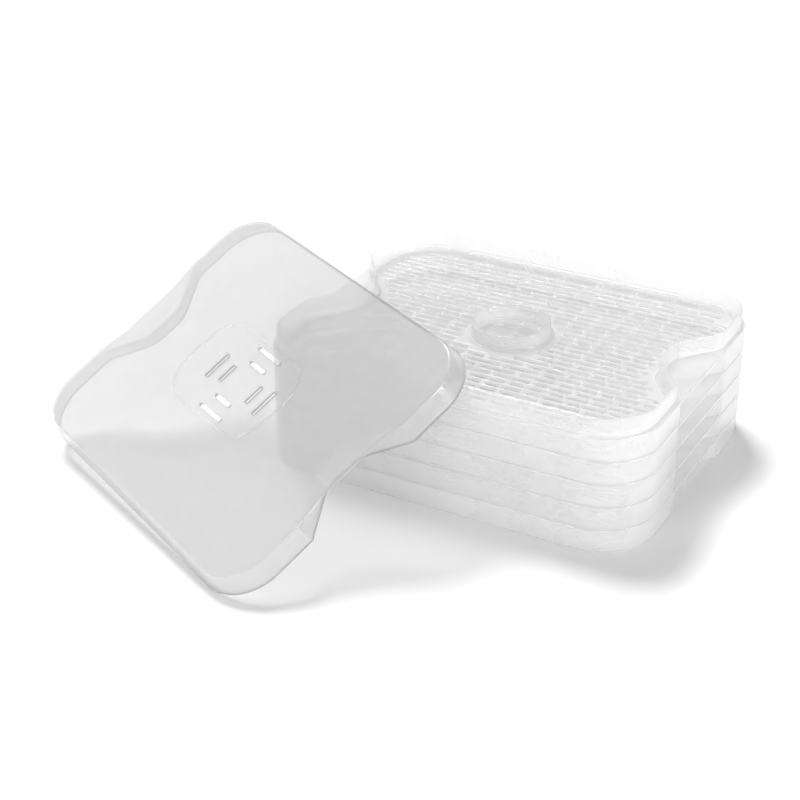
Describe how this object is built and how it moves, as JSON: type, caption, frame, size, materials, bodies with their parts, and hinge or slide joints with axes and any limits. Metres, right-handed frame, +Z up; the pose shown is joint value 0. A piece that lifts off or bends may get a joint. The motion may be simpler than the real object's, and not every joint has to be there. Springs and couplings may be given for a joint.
{
  "type": "food dehydrator trays",
  "caption": "Stack of clear rectangular drying trays with finger pockets and an air collar, and a clear vented lid leaning against it.",
  "frame": {"origin": "middle of the underside of the whole object's box, on the surface that the trays and the lid stand on", "axes": "+X along the trays' long sides, towards the side of the stack away from the lid; +Y across them, away from the lid; +Z up"},
  "size_m": [0.4984, 0.4496, 0.1592],
  "materials": {
    "clear_tray": "clear, polished, injection moulded",
    "clear_lid": "clear, polished, injection moulded"
  },
  "bodies": {
    "tray_1": {"tray_1": "clear_tray"},
    "tray_2": {"tray_2": "clear_tray"},
    "tray_3": {"tray_3": "clear_tray"},
    "tray_4": {"tray_4": "clear_tray"},
    "tray_5": {"tray_5": "clear_tray"},
    "lid": {"lid": "clear_lid"}
  },
  "joints": [
    {"name": "tray_2_lift", "type": "slide", "parent": "tray_1", "child": "tray_2", "axis": [0, 0, 1], "range_m": [0, 0.06]},
    {"name": "tray_3_lift", "type": "slide", "parent": "tray_2", "child": "tray_3", "axis": [0, 0, 1], "range_m": [0, 0.06]},
    {"name": "tray_4_lift", "type": "slide", "parent": "tray_3", "child": "tray_4", "axis": [0, 0, 1], "range_m": [0, 0.06]},
    {"name": "tray_5_lift", "type": "slide", "parent": "tray_4", "child": "tray_5", "axis": [0, 0, 1], "range_m": [0, 0.06]},
    {"name": "lid_lift", "type": "slide", "parent": "tray_5", "child": "lid", "axis": [0, 0, 1], "range_m": [0, 0.18]}
  ]
}
